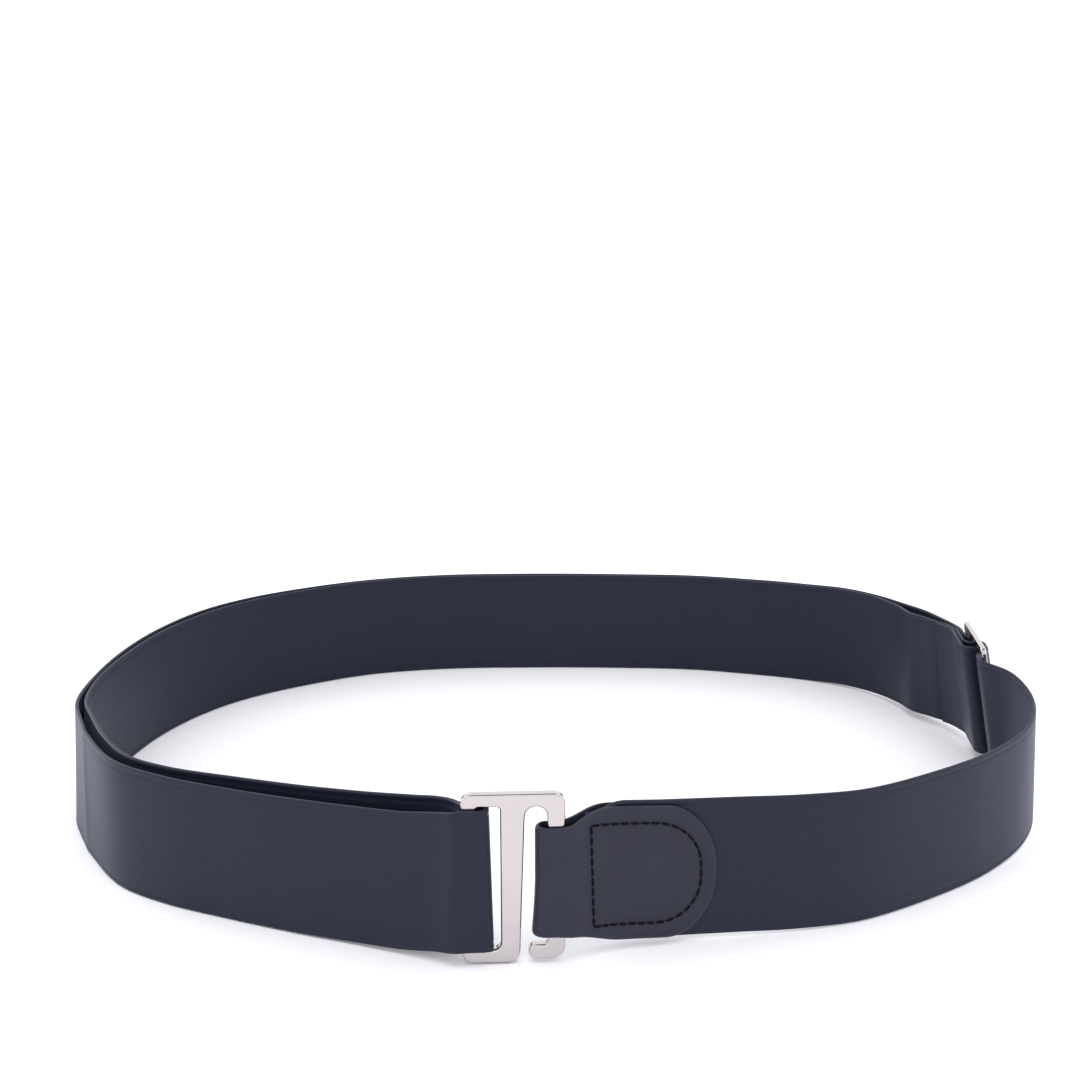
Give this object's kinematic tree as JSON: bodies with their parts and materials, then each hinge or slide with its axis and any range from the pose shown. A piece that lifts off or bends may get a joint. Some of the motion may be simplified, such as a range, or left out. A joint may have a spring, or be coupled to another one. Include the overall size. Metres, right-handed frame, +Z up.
{
  "type": "shirt stay",
  "caption": "Adjustable elastic shirt-holding belt, standing as a closed oval, with a flat metal hook buckle, a sewn leather tab and a metal slide adjuster.",
  "frame": {"origin": "under the middle of the belt, on the surface that it stands on", "axes": "+X to the right across the closed belt, +Y from the hook buckle at the front to the back, +Z up"},
  "size_m": [0.3082, 0.217, 0.0479],
  "materials": {
    "elastic": "dark navy woven elastic, matt with a faint sheen",
    "leather": "smooth dark navy leather, satin",
    "nickel": "polished nickel plate"
  },
  "bodies": {
    "root": {"elastic_band": "elastic", "leather_tab": "leather", "hook_buckle": "nickel", "slide_adjuster": "nickel"}
  },
  "joints": []
}
